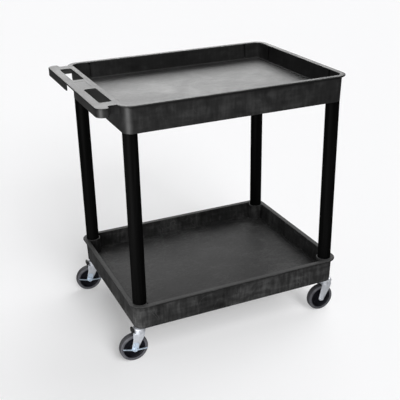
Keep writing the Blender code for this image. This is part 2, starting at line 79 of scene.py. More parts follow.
class Shade:
    """A small helper that builds one node material."""

    def __init__(self, name, **sockets):
        self.material = bpy.data.materials.new(name)
        self.material.use_nodes = True
        self.tree = self.material.node_tree
        self.shader = self.tree.nodes["Principled BSDF"]
        for socket, value in sockets.items():
            self.shader.inputs[socket.replace("_", " ")].default_value = value
        self.place = self.tree.nodes.new("ShaderNodeTexCoord").outputs["Object"]

    def node(self, kind, inputs=None, **settings):
        made = self.tree.nodes.new("ShaderNode" + kind)
        for key, value in settings.items():
            setattr(made, key, value)
        for key, value in (inputs or {}).items():
            self.feed(made.inputs[key], value)
        return made

    def feed(self, socket, value):
        """Links a socket to an output, or sets it to a constant."""
        if isinstance(value, bpy.types.NodeSocket):
            self.tree.links.new(value, socket)
        else:
            socket.default_value = value

    def stretched(self, scale):
        """The surface's place, scaled by axis."""
        made = self.node("Mapping", {"Vector": self.place, "Scale": scale})
        return made.outputs["Vector"]

    def noise(self, scale, detail=3.0, rough=0.5, distort=0.0, where=None):
        made = self.node("TexNoise", {"Vector": where or self.place, "Scale": scale,
                                      "Detail": detail, "Roughness": rough,
                                      "Distortion": distort})
        return made.outputs["Fac"]

    def ramp(self, value, stops):
        """A grey or colour ramp through (position, colour) stops."""
        made = self.node("ValToRGB", {"Fac": value})
        elements = made.color_ramp.elements
        while len(elements) < len(stops):
            elements.new(0.5)
        for element, (position, colour) in zip(elements, stops):
            element.position = position
            if isinstance(colour, (int, float)):
                colour = (colour, colour, colour)
            element.color = (*colour, 1.0)
        return made.outputs["Color"]

    def spread(self, value, low, high, to_low, to_high):
        """A value taken from one range to another, and kept within it."""
        made = self.node("MapRange", {"Value": value, "From Min": low, "From Max": high,
                                      "To Min": to_low, "To Max": to_high})
        return made.outputs["Result"]

    def math(self, operation, a, b=0.0):
        made = self.node("Math", {0: a, 1: b}, operation=operation)
        return made.outputs["Value"]

    def mixed(self, a, b, share):
        """Two values added up, the first with the share that is given."""
        return self.math("ADD", self.math("MULTIPLY", a, share),
                         self.math("MULTIPLY", b, 1 - share))

    def blend(self, share, a, b):
        """Colour a with a share of colour b over it."""
        made = self.node("Mix", data_type="RGBA")
        self.feed(made.inputs["Factor"], share)
        for key, value in (("A", a), ("B", b)):
            socket = [s for s in made.inputs if s.name == key and s.type == "RGBA"][0]
            if isinstance(value, (int, float)):
                value = (value, value, value)
            if isinstance(value, tuple):
                value = (*value, 1.0)
            self.feed(socket, value)
        return [s for s in made.outputs if s.type == "RGBA"][0]

    def bump(self, height, depth, strength):
        """Adds a height to what already shapes the surface."""
        made = self.node("Bump", {"Height": height, "Distance": depth, "Strength": strength})
        socket = self.shader.inputs["Normal"]
        if socket.is_linked:
            self.feed(made.inputs["Normal"], socket.links[0].from_socket)
        self.feed(socket, made.outputs["Normal"])

    def paint(self, **sockets):
        """Feeds the shader's sockets and gives the finished material."""
        for socket, value in sockets.items():
            self.feed(self.shader.inputs[socket.replace("_", " ")], value)
        return self.material


SCUFF_SHADE = 0.12
# near-black colour of the painted shadow on the outer wall under a rim's lip
LIP_SHADOW_SHADE = 0.0008
# each pair is where the painted shadow under the lip starts and where it is full, below the rim
# or in from its edge
LIP_SHADOW_TOP = (3.2 * MM, 4.6 * MM)
LIP_SHADOW_FOOT = (14.0 * MM, 9.0 * MM)
LIP_SHADOW_INSET = (16.5 * MM, 14.5 * MM)
# the band under the rim's top that gets the painted highlight, and how much of it
LIP_HIGHLIGHT_BAND = (1.8 * MM, 0.2 * MM)
LIP_HIGHLIGHT_SHARE = 0.8


def scuffs(look, strength):
    """Thin wandering lines, broken up into patches."""
    warp = look.node("TexNoise", {"Vector": look.place, "Scale": 3.0, "Detail": 3.0})
    bent = look.node("VectorMath", {0: look.place, 1: warp.outputs["Color"]}, operation="ADD")
    cells = look.node("TexVoronoi", {"Vector": bent.outputs["Vector"], "Scale": 6.0},
                      feature="DISTANCE_TO_EDGE")
    line = look.ramp(cells.outputs["Distance"], [(0.0, 1.0), (0.008, 0.0)])
    patchy = look.ramp(look.noise(16.0, detail=2.0), [(0.52, 0.0), (0.62, 1.0)])
    return look.math("MULTIPLY", look.math("MULTIPLY", line, patchy), strength)


def lip_shadow_mask(look, place, rim_z):
    """A mask for painted shadow: the outer faces just below a rim's lip."""
    below = look.spread(place["Z"], rim_z - LIP_SHADOW_TOP[0], rim_z - LIP_SHADOW_TOP[1], 0.0, 1.0)
    above = look.spread(place["Z"], rim_z - LIP_SHADOW_FOOT[0], rim_z - LIP_SHADOW_FOOT[1], 0.0, 1.0)
    from_side = look.math("ABSOLUTE", look.math("SUBTRACT", place["X"], MID_X))
    inset = look.math("MINIMUM", look.math("SUBTRACT", HALF_X, from_side),
                      look.math("SUBTRACT", HALF_Y, look.math("ABSOLUTE", place["Y"])))
    outside = look.spread(inset, LIP_SHADOW_INSET[1], LIP_SHADOW_INSET[0], 1.0, 0.0)
    return look.math("MULTIPLY", look.math("MULTIPLY", below, above), outside)


def foam_plastic(name, shade, gloss, rough_range, scratches, rim_z=None, lip_highlight_shade=None):
    """Moulded structural foam: dark, with swirls, a fine weave and scuffs.

    With a rim height given, a painted shadow darkens the band under the rim's lip.
    With a lip highlight shade as well, a painted highlight makes the top of the lip paler.
    """
    look = Shade(name, IOR=PLASTIC_IOR, Specular_IOR_Level=gloss)
    swirl = look.noise(5.0, detail=6.0, rough=0.6, distort=1.8)
    streak = look.noise(11.0, detail=5.0, rough=0.62, distort=2.2,
                        where=look.stretched((1.0, 2.0, 1.0)))
    warp_lines = look.noise(110.0, detail=2.0, distort=0.3,
                            where=look.stretched((1.0, 1.0, 0.12)))
    weft_lines = look.noise(90.0, detail=2.0, distort=0.3,
                            where=look.stretched((0.1, 0.1, 1.0)))
    cloth = look.mixed(warp_lines, weft_lines, 0.6)
    mottle = look.mixed(swirl, streak, 0.55)
    fine = look.mixed(mottle, cloth, 0.65)
    base = look.ramp(fine, [(0.38, shade * 0.35), (0.5, shade), (0.62, shade * 2.5)])
    colour = look.blend(scuffs(look, scratches), base, SCUFF_SHADE)
    rough = look.spread(mottle, 0.35, 0.65, *rough_range)
    if rim_z is not None:
        place = look.node("SeparateXYZ", {"Vector": look.place}).outputs
        lip_shadow = lip_shadow_mask(look, place, rim_z)
        # painted shadow: the outer wall just under the lip is darkened to near black, standing
        # for the lip's shade
        colour = look.blend(lip_shadow, colour, LIP_SHADOW_SHADE)
        rough = look.math("MAXIMUM", rough, lip_shadow)
        if lip_highlight_shade is not None:
            # painted highlight: the top of the lip is made paler, standing for light caught along
            # the rim
            painted_lip_highlight = look.spread(place["Z"], rim_z - LIP_HIGHLIGHT_BAND[0], rim_z - LIP_HIGHLIGHT_BAND[1],
                                 0.0, LIP_HIGHLIGHT_SHARE)
            colour = look.blend(painted_lip_highlight, colour, lip_highlight_shade)
    look.bump(mottle, 1.6 * MM, 0.7)
    look.bump(cloth, 0.7 * MM, 0.5)
    look.bump(look.noise(420.0, detail=2.0), 0.12 * MM, 0.6)
    return look.paint(Base_Color=colour, Roughness=rough)


def tube_plastic():
    """Smooth black tube, with faint marks along its length."""
    look = Shade("leg_plastic", IOR=PLASTIC_IOR, Specular_IOR_Level=0.02)
    grain = look.noise(60.0, where=look.stretched((1.0, 1.0, 0.04)))
    base = look.ramp(grain, [(0.3, 0.001), (0.7, 0.0035)])
    rough = look.spread(grain, 0.3, 0.7, 0.44, 0.56)
    look.bump(grain, 0.15 * MM, 0.4)
    look.bump(look.noise(500.0, detail=2.0), 0.05 * MM, 0.3)
    return look.paint(Base_Color=base, Roughness=rough)


def zinc_plate(name, tint):
    """Bright zinc on pressed steel: soft cloudy patches and drawing marks."""
    look = Shade(name, Metallic=0.4)
    cloud = look.noise(45.0, detail=4.0, rough=0.6, distort=0.6)
    marks = look.noise(300.0, detail=2.0, where=look.stretched((1.0, 1.0, 0.08)))
    mixed = look.mixed(cloud, marks, 0.7)
    dull = tuple(0.62 * c for c in tint)
    bright = tuple(min(1.0, 1.25 * c) for c in tint)
    base = look.ramp(mixed, [(0.3, dull), (0.55, tint), (0.75, bright)])
    rough = look.spread(mixed, 0.3, 0.7, 0.28, 0.46)
    look.bump(marks, 0.05 * MM, 0.35)
    look.bump(cloud, 0.15 * MM, 0.3)
    return look.paint(Base_Color=base, Roughness=rough)


DARK_TREAD_REACH = (49.0 * MM, 50.2 * MM)
DARK_TREAD_SHARE = 0.7


def tyre_rubber():
    """Grey non-marking rubber, a little dusty, with a darker tread."""
    look = Shade("tyre_rubber", IOR=PLASTIC_IOR, Specular_IOR_Level=0.35)
    dust = look.noise(70.0, detail=4.0, rough=0.65, distort=0.4)
    base = look.ramp(dust, [(0.3, (0.042, 0.042, 0.050)), (0.55, (0.070, 0.070, 0.079)),
                            (0.75, (0.11, 0.11, 0.12))])
    rough = look.spread(dust, 0.3, 0.7, 0.6, 0.85)
    flat = look.node("VectorMath", {0: look.place, 1: (1.0, 0.0, 1.0)}, operation="MULTIPLY")
    reach = look.node("VectorMath", {0: flat.outputs["Vector"]}, operation="LENGTH")
    # darker beyond about 49 mm from the axle, on the tread
    dark_tread = look.spread(reach.outputs["Value"], *DARK_TREAD_REACH, 0.0, DARK_TREAD_SHARE)
    colour = look.blend(dark_tread, base, (0.02, 0.02, 0.022))
    look.bump(look.noise(900.0, detail=2.0), 0.08 * MM, 0.5)
    look.bump(dust, 0.15 * MM, 0.4)
    return look.paint(Base_Color=colour, Roughness=rough)


def wheel_plastic():
    """Black moulded wheel core with a slight blue cast."""
    look = Shade("wheel_plastic", IOR=PLASTIC_IOR, Specular_IOR_Level=0.12)
    cloud = look.noise(60.0, rough=0.55, distort=0.8)
    base = look.ramp(cloud, [(0.3, (0.002, 0.002, 0.003)), (0.7, (0.006, 0.006, 0.010))])
    rough = look.spread(cloud, 0.3, 0.7, 0.36, 0.55)
    look.bump(look.noise(700.0, detail=2.0), 0.06 * MM, 0.4)
    return look.paint(Base_Color=base, Roughness=rough)


def brake_rubber():
    """Black moulded brake block."""
    look = Shade("brake_rubber", IOR=PLASTIC_IOR, Specular_IOR_Level=0.4)
    cloud = look.noise(120.0)
    base = look.ramp(cloud, [(0.3, 0.006), (0.7, 0.016)])
    rough = look.spread(cloud, 0.3, 0.7, 0.5, 0.7)
    look.bump(look.noise(900.0, detail=2.0), 0.08 * MM, 0.5)
    return look.paint(Base_Color=base, Roughness=rough)


LOOKS = {
    "top": foam_plastic("tub_plastic_top", shade=0.011, gloss=0.5, rough_range=(0.46, 0.60),
                        scratches=0.15, rim_z=TOP_RIM_Z),
    "handle": foam_plastic("handle_plastic", shade=0.013, gloss=0.5, rough_range=(0.46, 0.58),
                           scratches=0.15),
    # the bottom tub is the same moulding as the top one, but its base colour is about twice as
    # pale: painted light, standing for light bounced up from the floor
    "bottom": foam_plastic("tub_plastic_bottom_lit", shade=0.023, gloss=0.06,
                           rough_range=(0.50, 0.64), scratches=0.4, rim_z=BOTTOM_RIM_Z,
                           lip_highlight_shade=0.06),
    "leg": tube_plastic(),
    "zinc": zinc_plate("zinc_plate", (0.57, 0.59, 0.63)),
    "zinc_blue": zinc_plate("zinc_plate_blue", (0.54, 0.63, 0.74)),
    "tyre": tyre_rubber(),
    "hub": wheel_plastic(),
    "shoe": brake_rubber(),
}


# ---- Mesh helpers ------------------------------------------------------------
SMOOTH_ANGLE = math.radians(32)
MITRE_LIMIT = 0.3


def bridged(shape, loops, closed=False):
    """Quads between neighbouring loops of equally many vertices."""
    pairs = list(zip(loops, loops[1:]))
    if closed:
        pairs.append((loops[-1], loops[0]))
    for lower, upper in pairs:
        for i in range(len(lower)):
            j = (i + 1) % len(lower)
            shape.faces.new((lower[i], lower[j], upper[j], upper[i]))


def loft(rings, closed=False):
    """A closed shape through rings, capped at its ends unless closed."""
    shape = bmesh.new()
    loops = [[shape.verts.new(point) for point in ring] for ring in rings]
    bridged(shape, loops, closed)
    if not closed:
        shape.faces.new(loops[0])
        shape.faces.new(loops[-1])
    return shape


def circle(radius, height, steps, axis="Z", centre=(0, 0, 0)):
    """A ring about an axis; about Y its first point is the lowest."""
    ring = []
    for i in range(steps):
        angle = 2 * math.pi * i / steps
        a, b = radius * math.cos(angle), radius * math.sin(angle)
        point = Vector((a, b, height)) if axis == "Z" else Vector((b, height, -a))
        ring.append(point + Vector(centre))
    return ring


def turned(profile, steps, axis="Z", closed=False, centre=(0, 0, 0)):
    """A turned shape from (radius, height) pairs."""
    return loft([circle(r, h, steps, axis, centre) for r, h in profile], closed)


def in_mm(pairs):
    return [(a * MM, b * MM) for a, b in pairs]


def both_sides(side):
    """A wheel part's profile from its +Y half, as (radius, y) pairs."""
    return [(r, -y) for r, y in side] + side[::-1]


def bend(centre_a, centre_b, radius, start, end, steps=4):
    """Points of an arc in degrees, both ends included."""
    points = []
    for i in range(steps + 1):
        angle = math.radians(start + (end - start) * i / steps)
        points.append((centre_a + radius * math.cos(angle),
                       centre_b + radius * math.sin(angle)))
    return points


def round_hole(radius, steps=24, centre=(0, 0)):
    """A clockwise circle, as the holes of a plate run."""
    return bend(*centre, radius, 360, 0, steps)[:-1]


def rounded_box(low_a, high_a, low_b, high_b, radius, steps=4):
    """A counter-clockwise rectangle with round corners."""
    in_a, out_a = low_a + radius, high_a - radius
    in_b, out_b = low_b + radius, high_b - radius
    return (bend(out_a, out_b, radius, 0, 90, steps) + bend(in_a, out_b, radius, 90, 180, steps)
            + bend(in_a, in_b, radius, 180, 270, steps)
            + bend(out_a, in_b, radius, 270, 360, steps))


def shifted(loop, distance):
    """A closed loop moved to its left by a distance, with mitred corners."""
    points = []
    for i, point in enumerate(loop):
        here = Vector(point)
        before = (here - Vector(loop[i - 1])).normalized()
        after = (Vector(loop[(i + 1) % len(loop)]) - here).normalized()
        normals = [Vector((-way.y, way.x)) for way in (before, after)]
        mitre = (normals[0] + normals[1]).normalized()
        reach = distance / max(MITRE_LIMIT, mitre.dot(normals[0]))
        points.append((here.x + mitre.x * reach, here.y + mitre.y * reach))
    return points


def plate(outline, low, high, edge, holes=(), upright=False, steps=3):
    """A flat plate with rounded edges.

    The outline runs counter-clockwise and holes clockwise. An upright plate
    stands in the XZ plane, and low and high are then its Y limits.
    """
    shape = bmesh.new()

    def point(a, b, height):
        return Vector((a, height, b)) if upright else Vector((a, b, height))

    levels = []
    for i in range(steps + 1):
        angle = math.pi / 2 * i / steps
        levels.append((edge * (1 - math.sin(angle)), low + edge * (1 - math.cos(angle))))
    levels += [(inset, high + low - height) for inset, height in reversed(levels)]

    caps = ([], [])
    for loop in [outline, *holes]:
        rows = []
        for inset, height in levels:
            rows.append([shape.verts.new(point(a, b, height)) for a, b in shifted(loop, inset)])
        bridged(shape, rows)
        caps[0].append(rows[0])
        caps[1].append(rows[-1])
    for rows in caps:
        flat = [[Vector((v.co.x, v.co.z if upright else v.co.y, 0)) for v in row] for row in rows]
        corners = [v for row in rows for v in row]
        for triangle in geometry.tessellate_polygon(flat):
            shape.faces.new([corners[i] for i in triangle])
    return shape


def box_bar(low, high, edge):
    """A bar with rounded edges between two corners."""
    outline = rounded_box(low[0], high[0], low[1], high[1], edge, 2)
    return plate(outline, low[2], high[2], edge, steps=2)


def moved(shape, offset=(0, 0, 0), turn=None):
    """A shape turned about the origin and then shifted."""
    if turn:
        bmesh.ops.transform(shape, matrix=turn, verts=shape.verts)
    bmesh.ops.translate(shape, vec=Vector(offset), verts=shape.verts)
    return shape


def piece(name, shapes, look, body, nodes=(), offset=(0, 0, 0)):
    """One visible piece, made of one or more shapes, riding on a body."""
    whole = bmesh.new()
    for shape in shapes if isinstance(shapes, (list, tuple)) else [shapes]:
        part = bpy.data.meshes.new("part")
        shape.to_mesh(part)
        whole.from_mesh(part)
        bpy.data.meshes.remove(part)
    bmesh.ops.recalc_face_normals(whole, faces=whole.faces)
    mesh = bpy.data.meshes.new(name)
    whole.to_mesh(mesh)
    whole.free()
    mesh.shade_smooth()
    mesh.set_sharp_from_angle(angle=SMOOTH_ANGLE)
    mesh.materials.append(LOOKS[look])
    made = bpy.data.objects.new(name, mesh)
    made.location = offset
    bpy.context.scene.collection.objects.link(made)
    even = made.modifiers.new("even_normals", "WEIGHTED_NORMAL")
    even.keep_sharp = True
    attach(made, body)
    if nodes:
        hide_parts(*nodes)


# ---- Tubs --------------------------------------------------------------------
LEAST_CORNER_R = 1.0 * MM
CORNER_STEPS = 12
LONG_STEPS = 14
SHORT_STEPS = 10
LONG_GROOVE_AT = 41.0 * MM
SHORT_GROOVE_AT = 55.0 * MM
GROOVE_PROFILE = ((-4.0 * MM, 0.0), (-3.4 * MM, 1.0), (3.4 * MM, 1.0), (4.0 * MM, 0.0))
GROOVE_DEPTH = 6.0 * MM

# arcs of the section, as the inset of the centre from the rim's edge and the radius
LEDGE_FILLET = (33.6 * MM, 1.0 * MM)
LEDGE_EDGE = (31.8 * MM, 0.8 * MM)
WALL_FILLET = (25.5 * MM, 2.5 * MM)
RIM_INNER_ARC = (15.9 * MM, 3.4 * MM)
RIM_OUTER_ARC = (2.6 * MM, 2.6 * MM)
LIP_UNDER_ARC = (3.4 * MM, 3.4 * MM)
LIP_NOTCH = (10.6 * MM, 0.6 * MM)
FOOT_EDGE_R = 1.2 * MM
FOOT_INNER_AT = 18.8 * MM
# single points of it, as insets, or as an inset and a distance above or below a level
FLOOR_RINGS = (60.0 * MM, 36.0 * MM)
UNDERSIDE_RINGS = (20.6 * MM, 40.0 * MM)
WALL_LOW = (22.9 * MM, 5.0 * MM)
WALL_HIGH = (19.5 * MM, 5.5 * MM)
RIM_CROWN = ((12.5 * MM, 0.05 * MM), (9.0 * MM, 0.0), (5.5 * MM, 0.05 * MM))
RIM_CROWN_HEIGHT = 0.35 * MM
LEDGE_HEIGHT = 2.2 * MM

FLOOR_OVERLAP = 1.0 * MM
RIB_DEPTH = 10.0 * MM
RIB_HALF_WIDTH = 2.0 * MM
RIB_EDGE = 0.8 * MM
RIB_MARGIN = 18.0 * MM
CROSS_RIBS = (-2, -1, 0, 1, 2)
CROSS_RIB_PITCH = 140.0 * MM
LONG_RIBS = (-1.5, -0.5, 0.5, 1.5)
LONG_RIB_PITCH = 120.0 * MM
LONG_RIB_STEP = 0.4 * MM


def tub_ring(inset, height, groove=0.0):
    """The tub's plan outline, moved in from the rim's edge.

    An upright groove runs beside each end of a side, as deep as given.
    """
    radius = max(RIM_CORNER_R - inset, LEAST_CORNER_R)
    half_x, half_y = HALF_X - inset, HALF_Y - inset
    corners = rounded_box(-half_x, half_x, -half_y, half_y, radius, CORNER_STEPS)
    ring = []
    sides = ((LONG_STEPS, LONG_GROOVE_AT), (SHORT_STEPS, SHORT_GROOVE_AT)) * 2
    for side, (steps, groove_at) in enumerate(sides):
        arc = corners[side * (CORNER_STEPS + 1):(side + 1) * (CORNER_STEPS + 1)]
        following = corners[((side + 1) * (CORNER_STEPS + 1)) % len(corners)]
        ring += arc
        start = Vector(arc[-1])
        length = (Vector(following) - start).length
        way = (Vector(following) - start) / length
        out = Vector((way.y, -way.x))
        near = [(groove_at + at, groove * sunk) for at, sunk in GROOVE_PROFILE]
        far = [(length - at, depth) for at, depth in reversed(near)]
        gap = far[0][0] - near[-1][0]
        between = [(near[-1][0] + gap * i / steps, 0.0) for i in range(1, steps)]
        ring += [start + way * at + out * depth for at, depth in near + between + far]
    return [Vector((x + MID_X, y, height)) for x, y in ring]


def tub_section(rim_z, groove):
    """(inset, height, groove) from the floor over the rim to the underside."""
    floor_z = rim_z - FLOOR_DROP
    ledge_z = floor_z + LEDGE_HEIGHT
    foot_z = rim_z - TUB_DEPTH
    lip_z = rim_z - LIP_THICKNESS
    top = rim_z - RIM_CROWN_HEIGHT

    def arc(centre, level, start, end, steps):
        """A bend that stands on a level, or hangs from it when it is an upper one."""
        inset, radius = centre
        height = level + radius if max(start, end) > 180 else level - radius
        return bend(inset, height, radius, start, end, steps)

    floor = [(inset, floor_z) for inset in FLOOR_RINGS]
    floor += arc(LEDGE_FILLET, floor_z, 270, 180, 2)
    floor += arc(LEDGE_EDGE, ledge_z, 0, 90, 3)
    floor += arc(WALL_FILLET, ledge_z, 270, 184, 4)
    wall = [(WALL_LOW[0], ledge_z + WALL_LOW[1]), (WALL_HIGH[0], top - WALL_HIGH[1])]
    over = arc(RIM_INNER_ARC, top, 4, 90, 5)
    over += [(inset, rim_z - drop) for inset, drop in RIM_CROWN]
    over += arc(RIM_OUTER_ARC, top, 90, 180, 5)
    over += arc(LIP_UNDER_ARC, lip_z, 180, 270, 5)
    over += arc(LIP_NOTCH, lip_z, 90, 2, 2)
    over += arc((WALL_FOOT_INSET + FOOT_EDGE_R, FOOT_EDGE_R), foot_z, 180, 270, 3)
    over += arc((FOOT_INNER_AT, FOOT_EDGE_R), foot_z, 270, 360, 3)
    over += [(inset, floor_z - FLOOR_THICKNESS) for inset in UNDERSIDE_RINGS]
    return ([(*row, 0.0) for row in floor] + [(*row, groove) for row in wall]
            + [(*row, 0.0) for row in over])


def tub_shell(rim_z, groove=0.0):
    return loft([tub_ring(*row) for row in tub_section(rim_z, groove)])


def tub_ribs(rim_z):
    """Crossing ribs under a floor."""
    high = rim_z - FLOOR_DROP - FLOOR_THICKNESS + FLOOR_OVERLAP
    low = high - RIB_DEPTH
    reach_x = HALF_X - RIB_MARGIN
    reach_y = HALF_Y - RIB_MARGIN
    bars = []
    for i in CROSS_RIBS:
        x = MID_X + i * CROSS_RIB_PITCH
        bars.append(box_bar((x - RIB_HALF_WIDTH, -reach_y, low),
                            (x + RIB_HALF_WIDTH, reach_y, high), RIB_EDGE))
    for i in LONG_RIBS:
        y = i * LONG_RIB_PITCH
        bars.append(box_bar((MID_X - reach_x, y - RIB_HALF_WIDTH, low + LONG_RIB_STEP),
                            (MID_X + reach_x, y + RIB_HALF_WIDTH, high), RIB_EDGE))
    return bars


# ---- Top tub with its handle -------------------------------------------------
HANDLE_TOP_Z = TOP_RIM_Z - 0.3 * MM
HANDLE_THICKNESS = 5.5 * MM
HANDLE_EDGE = 1.6 * MM
HANDLE_HALF_Y = 300 * MM
HANDLE_CORNER_R = 25 * MM
HANDLE_ROOT_INSET = WALL_TOP_INSET + 6 * MM
NECK_Y = 275 * MM
NECK_INSET = WALL_TOP_INSET + 1 * MM
NECK_STEP = 5 * MM
NECK_FILLET_R = 9 * MM
EAR_LENGTH = 14 * MM
EAR_R = 8 * MM
HANDLE_LIP_DEPTH = 29 * MM
HANDLE_LIP_WALL = 5 * MM
HANDLE_LIP_EDGE = 1.2 * MM
LIP_GAP_HALF_Y = 50 * MM
SLOT_FROM_EDGE = 29 * MM
SLOT_FROM_TUB = 0.5 * MM
SLOTS_Y = ((65 * MM, 232 * MM), (-232 * MM, -65 * MM))
SLOT_R = 6 * MM
DISH_FROM_EDGE = 23 * MM
DISH_FROM_TUB = 6 * MM
DISH_HALF_Y = 39 * MM
DISH_R = 5 * MM
DISH_DEPTH = 1.4 * MM
DISH_SLOPE = 3.5 * MM
DISH_OVERLAP = 1.8 * MM
SOCKET_OUTER_R = 23.7 * MM
SOCKET_INNER_R = 18.3 * MM
SOCKET_STEPS = 40


def handle_edge():
    """The handle's outline on the +Y side, from the tub wall to its middle."""
    centre_x = HANDLE_X + HANDLE_CORNER_R
    centre_y = HANDLE_HALF_Y - HANDLE_CORNER_R
    ear_x = centre_x + EAR_LENGTH
    edge = [(MID_X - HALF_X + NECK_INSET, NECK_Y)]
    edge += bend(ear_x + NECK_FILLET_R, NECK_Y + NECK_FILLET_R, NECK_FILLET_R, 270, 180, 5)
    edge += bend(ear_x - EAR_R, HANDLE_HALF_Y - EAR_R, EAR_R, 0, 90, 6)
    edge += bend(centre_x, centre_y, HANDLE_CORNER_R, 90, 180, 10)
    edge.append((HANDLE_X, LIP_GAP_HALF_Y))
    return edge


def lip_strip(edge, wall):
    """A closed outline that follows an edge at the wall's thickness."""
    far = []
    for i, point in enumerate(edge):
        before = Vector(edge[max(i - 1, 0)])
        after = Vector(edge[min(i + 1, len(edge) - 1)])
        way = (after - before).normalized()
        far.append((point[0] - way.y * wall, point[1] + way.x * wall))
    return edge + far[::-1]


def mirrored(outline):
    return [(x, -y) for x, y in reversed(outline)]


def handle_shapes():
    """The slotted top plate, a shallow dish in its middle and a lip below its edge."""
    edge = handle_edge()
    tub_x = MID_X - HALF_X
    root = (tub_x + HANDLE_ROOT_INSET, NECK_Y - NECK_STEP)
    outline = [root] + edge + mirrored([root] + edge)
    slot_x = (HANDLE_X + SLOT_FROM_EDGE, tub_x - SLOT_FROM_TUB)
    slots = [rounded_box(*slot_x, *slot_y, SLOT_R) for slot_y in SLOTS_Y]
    dish = rounded_box(HANDLE_X + DISH_FROM_EDGE, tub_x - DISH_FROM_TUB,
                       -DISH_HALF_Y, DISH_HALF_Y, DISH_R)
    low, high = HANDLE_TOP_Z - HANDLE_THICKNESS, HANDLE_TOP_Z
    holes = [hole[::-1] for hole in (*slots, dish)]
    shapes = [plate(outline, low, high, HANDLE_EDGE, holes=holes)]
    slope = [(-DISH_OVERLAP, low + 0.2 * MM), (-DISH_OVERLAP, high - 0.01 * MM),
             (DISH_SLOPE, high - DISH_DEPTH)]
    shapes.append(loft([[Vector((x, y, height)) for x, y in shifted(dish, inset)]
                        for inset, height in slope]))
    strip = lip_strip(edge, HANDLE_LIP_WALL)
    for side in (strip, mirrored(strip)):
        shapes.append(plate(side, TOP_RIM_Z - HANDLE_LIP_DEPTH, high - DISH_DEPTH,
                            HANDLE_LIP_EDGE))
    return shapes


def leg_sockets(low, high):
    """Rings under the top floor that take the leg ends, one for each corner."""
    profile = [(SOCKET_OUTER_R, low), (SOCKET_OUTER_R, high),
               (SOCKET_INNER_R, high), (SOCKET_INNER_R, low)]
    shapes = []
    for corner in CORNERS:
        at = middle("leg_" + corner)
        shapes.append(turned(profile, SOCKET_STEPS, closed=True, centre=(at.x, at.y, 0)))
    return shapes


def make_top_tub():
    foot_z = TOP_RIM_Z - TUB_DEPTH
    under_z = TOP_RIM_Z - FLOOR_DROP - FLOOR_THICKNESS
    sockets = leg_sockets(foot_z + 0.2 * MM, under_z + FLOOR_OVERLAP)
    piece("top_tub_shell", tub_shell(TOP_RIM_Z, GROOVE_DEPTH), "top", "frame", ["top_tub"])
    piece("top_tub_ribs", tub_ribs(TOP_RIM_Z), "top", "frame")
    piece("top_tub_leg_sockets", sockets, "top", "frame")
    piece("top_tub_handle", handle_shapes(), "handle", "frame")


# ---- Bottom tub --------------------------------------------------------------
BOSS_R = 29.0 * MM
BOSS_BORE_R = 24.4 * MM
BOSS_BORE_DEPTH = 46.0 * MM
BOSS_STEM_R = 7.0 * MM
BOSS_STEPS = 48
BOSS_SEARCH_STEP = 0.1 * MM


def inside_tub(x, y, inset):
    """Whether a point lies inside the plan outline at an inset."""
    radius = RIM_CORNER_R - inset
    over_x = max(abs(x - MID_X) - (HALF_X - inset - radius), 0)
    over_y = max(abs(y) - (HALF_Y - inset - radius), 0)
    return math.hypot(over_x, over_y) <= radius


def boss_ring(at, radius, height, inset):
    """A circle about a leg's axis that stays inside the tub's wall."""
    ring = []
    for i in range(BOSS_STEPS):
        angle = 2 * math.pi * i / BOSS_STEPS
        reach = radius
        way = Vector((math.cos(angle), math.sin(angle)))
        while not inside_tub(at.x + way.x * reach, at.y + way.y * reach, inset):
            reach -= BOSS_SEARCH_STEP
        ring.append(Vector((at.x + way.x * reach, at.y + way.y * reach, height)))
    return ring


def corner_boss(corner):
    """Round boss that takes the leg from above, with a ledge at rim level."""
    at = middle("leg_" + corner)
    top = BOTTOM_RIM_Z - 0.4 * MM
    bore_foot = top - BOSS_BORE_DEPTH
    foot = BOTTOM_RIM_Z - TUB_DEPTH + 0.3 * MM
    wall = WALL_TOP_INSET + 1.5 * MM
    foot_wall = WALL_FOOT_INSET + 0.6 * MM
    rows = [
        (BOSS_BORE_R, bore_foot, foot_wall + 2 * MM),
        (BOSS_BORE_R, top - 1 * MM, wall),
        (BOSS_BORE_R + 0.8 * MM, top, wall),
        (BOSS_R - 1.5 * MM, top, wall),
        (BOSS_R - 0.4 * MM, top - 0.5 * MM, wall),
        (BOSS_R, top - 1.6 * MM, wall),
        (BOSS_R, foot, foot_wall),
        (BOSS_STEM_R, foot, foot_wall),
        (BOSS_STEM_R, bore_foot, foot_wall),
    ]
    return loft([boss_ring(at, *row) for row in rows], closed=True)


def make_bottom_tub():
    piece("bottom_tub_shell", tub_shell(BOTTOM_RIM_Z), "bottom", "frame", ["bottom_tub"])
    piece("bottom_tub_ribs", tub_ribs(BOTTOM_RIM_Z), "bottom", "frame")
    for corner in CORNERS:
        piece("bottom_tub_boss_" + corner, corner_boss(corner), "bottom", "frame")


# ---- Legs --------------------------------------------------------------------
LEG_STEPS = 64
SPIGOT_R = 18.0 * MM
SPIGOT_BORE_R = 15.0 * MM


def make_legs():
    """Tubes with a tapered foot in the boss and a spigot in the top tub."""
    shoulder = TOP_RIM_Z - TUB_DEPTH - 0.3 * MM
    for corner in CORNERS:
        node = "leg_" + corner
        low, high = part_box(node)
        at = middle(node)
        outer = (high.x - low.x) / 2
        profile = [
            (outer - 2.0 * MM, low.z),
            (outer, BOTTOM_RIM_Z),
            (outer, shoulder - 1.0 * MM),
            (outer - 0.3 * MM, shoulder - 0.3 * MM),
            (outer - 1.0 * MM, shoulder),
            (SPIGOT_R, shoulder),
            (SPIGOT_R, high.z),
            (SPIGOT_BORE_R, high.z),
            (SPIGOT_BORE_R, shoulder - 3 * MM),
            (outer - 3.0 * MM, shoulder - 6 * MM),
            (outer - 5.0 * MM, low.z),
        ]
        shape = turned(profile, LEG_STEPS, closed=True, centre=(at.x, at.y, 0))
        piece("leg_tube_" + corner, shape, "leg", "frame", [node])


